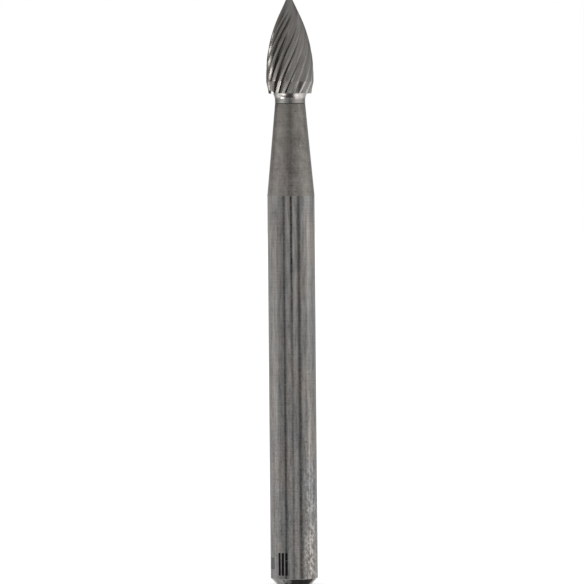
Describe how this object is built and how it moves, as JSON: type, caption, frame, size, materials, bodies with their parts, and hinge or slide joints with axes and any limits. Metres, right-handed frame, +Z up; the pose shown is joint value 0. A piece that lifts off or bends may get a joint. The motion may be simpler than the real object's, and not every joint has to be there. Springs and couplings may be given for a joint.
{
  "type": "carbide burr",
  "caption": "Rotary burr with a pointed, spirally fluted carbide head brazed to a slim steel shank that tapers at the neck and has a chamfered end for a collet.",
  "frame": {"origin": "centre of the shank's flat end", "axes": "+Z runs up the spindle axis from the shank's flat end to the tip of the head; X and Y are square to it"},
  "size_m": [0.003, 0.003, 0.0375],
  "materials": {
    "carbide": "tungsten carbide, diamond ground: dark grey and shiny in the flutes, bright on the collar",
    "silver_solder": "silver solder, dulled by heat and ground flush",
    "steel": "hardened tool steel, centreless ground on the cylinder and fine matte ground on the cone"
  },
  "bodies": {
    "root": {"cutter_head": "carbide", "braze_joint": "silver_solder", "shank": "steel"}
  },
  "joints": []
}
